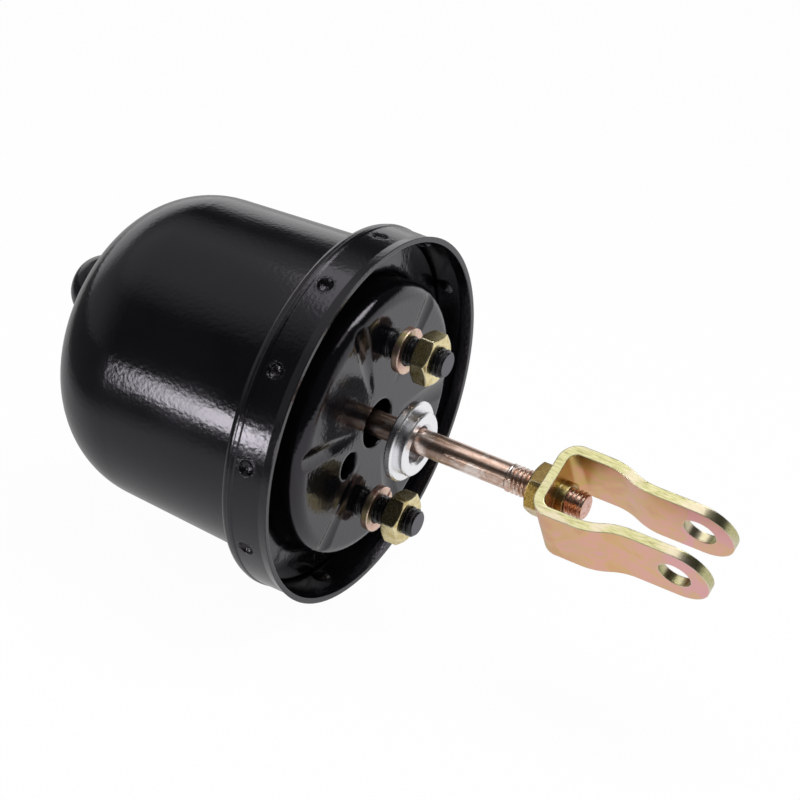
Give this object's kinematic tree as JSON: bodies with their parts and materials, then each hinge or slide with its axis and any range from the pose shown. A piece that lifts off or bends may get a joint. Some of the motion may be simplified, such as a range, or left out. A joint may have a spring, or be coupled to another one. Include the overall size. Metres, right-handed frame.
{
  "type": "exhaust brake chamber",
  "caption": "Diaphragm air actuator: deep black can, staked front cover with bracket studs, sprung push rod, guide ring, lock nut and clevis.",
  "frame": {"origin": "centre of the front cover's outer face, between the two bracket studs", "axes": "+X along the push rod, out of the cover; +Z from the lower stud to the upper one"},
  "size_m": [0.2014, 0.104, 0.104],
  "materials": {
    "black_enamel": "gloss black enamel",
    "black_steel": "black phosphated steel",
    "yellow_zinc": "yellow passivated zinc plate",
    "copper_zinc": "bronze passivated zinc plate",
    "olive_zinc": "olive passivated zinc plate",
    "rainbow_zinc": "iridescent yellow passivated zinc plate",
    "turned_aluminium": "turned, bright",
    "zinc_sheet": "zinc plated pressed steel",
    "spring_steel": "oiled spring wire",
    "diaphragm_rubber": "fabric reinforced rubber",
    "nylon": "moulded nylon"
  },
  "bodies": {
    "casing_assembly": {"casing": "black_enamel", "inlet_boss": "black_enamel", "front_cover": "black_enamel", "upper_stud": "black_steel", "lower_stud": "black_steel", "upper_stud_nut": "yellow_zinc", "lower_stud_nut": "yellow_zinc", "upper_spring_washer": "copper_zinc", "lower_spring_washer": "copper_zinc", "diaphragm": "diaphragm_rubber", "return_spring": "spring_steel", "spring_seat": "zinc_sheet"},
    "piston": {"piston_cup": "zinc_sheet", "retainer_plate": "zinc_sheet", "rod_socket": "zinc_sheet", "socket_rivets": "zinc_sheet", "ball_seat": "nylon"},
    "push_rod": {"push_rod": "copper_zinc", "lock_nut": "olive_zinc"},
    "guide_ring": {"guide_ring": "turned_aluminium"},
    "clevis": {"clevis": "rainbow_zinc"}
  },
  "joints": [
    {"name": "piston_stroke", "type": "slide", "parent": "casing_assembly", "child": "piston", "axis": [1, 0, 0], "range_m": [0, 0.04], "stiffness_N_per_m": 2500, "springref_m": -0.03, "deforming": ["return_spring", "diaphragm"]},
    {"name": "rod_swing", "type": "hinge", "parent": "piston", "child": "push_rod", "pos_m": [-0.0634, 0, 0], "axis": [0, 0.7923, 0.6101], "range_deg": [-2.5, 2.5]},
    {"name": "guide_ring_slide", "type": "slide", "parent": "push_rod", "child": "guide_ring", "axis": [1, 0, 0], "range_m": [-0.0083, 0.0346]},
    {"name": "clevis_turn", "type": "hinge", "parent": "push_rod", "child": "clevis", "pos_m": [0.0537, 0, 0], "axis": [1, 0, 0], "continuous": true}
  ]
}
